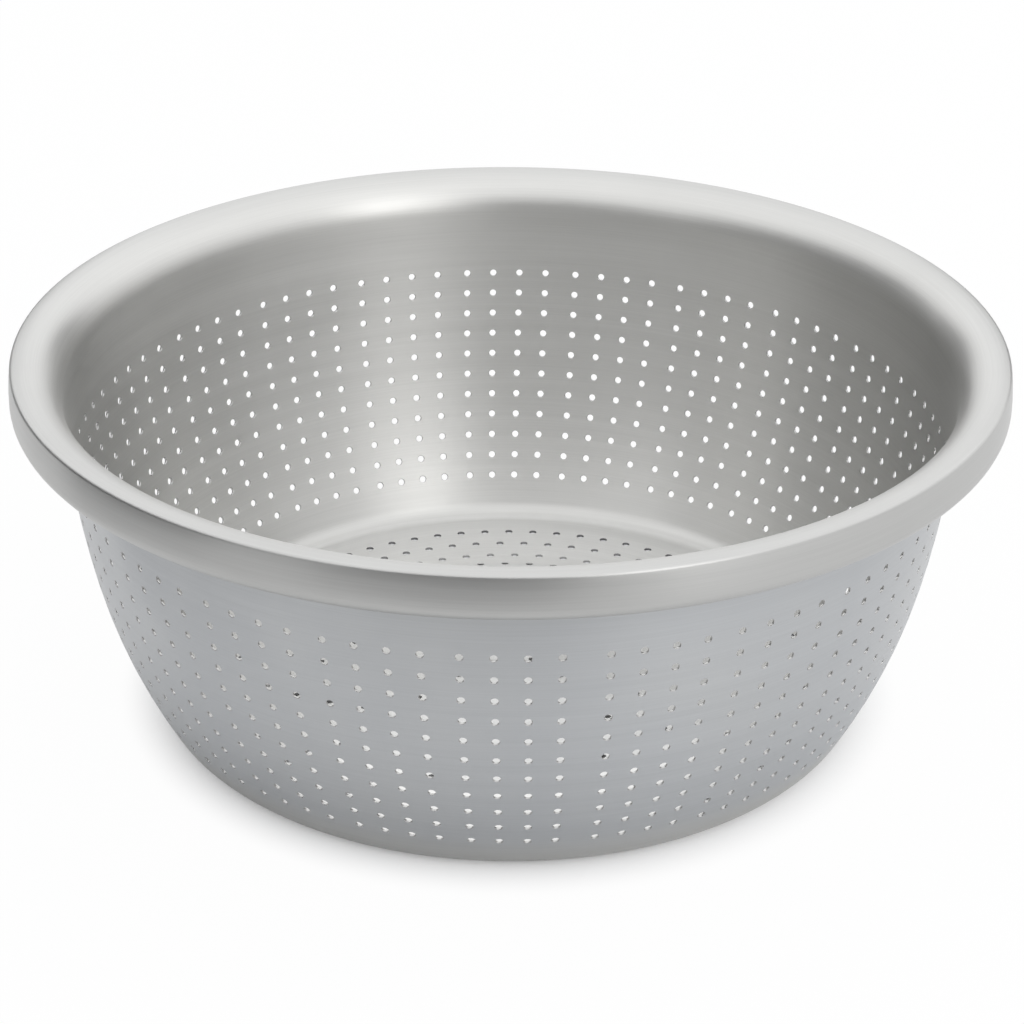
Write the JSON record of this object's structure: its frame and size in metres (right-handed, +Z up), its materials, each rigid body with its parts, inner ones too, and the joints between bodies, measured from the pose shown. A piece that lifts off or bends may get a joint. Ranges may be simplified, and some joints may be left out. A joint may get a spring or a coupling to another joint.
{
  "type": "colander",
  "caption": "Round steel colander bowl with punched drain holes in wall and base, and a wide folded rim that curls in below.",
  "frame": {"origin": "on the bowl's axis, at the height of the flat ring that it stands on", "axes": "+Z up along the bowl's axis, out of its mouth; -Y towards the front of the pictured view, +X to its right"},
  "size_m": [0.2602, 0.2602, 0.101],
  "materials": {
    "steel": "fine satin, brushed round the axis"
  },
  "bodies": {
    "root": {"colander": "steel"}
  },
  "joints": []
}
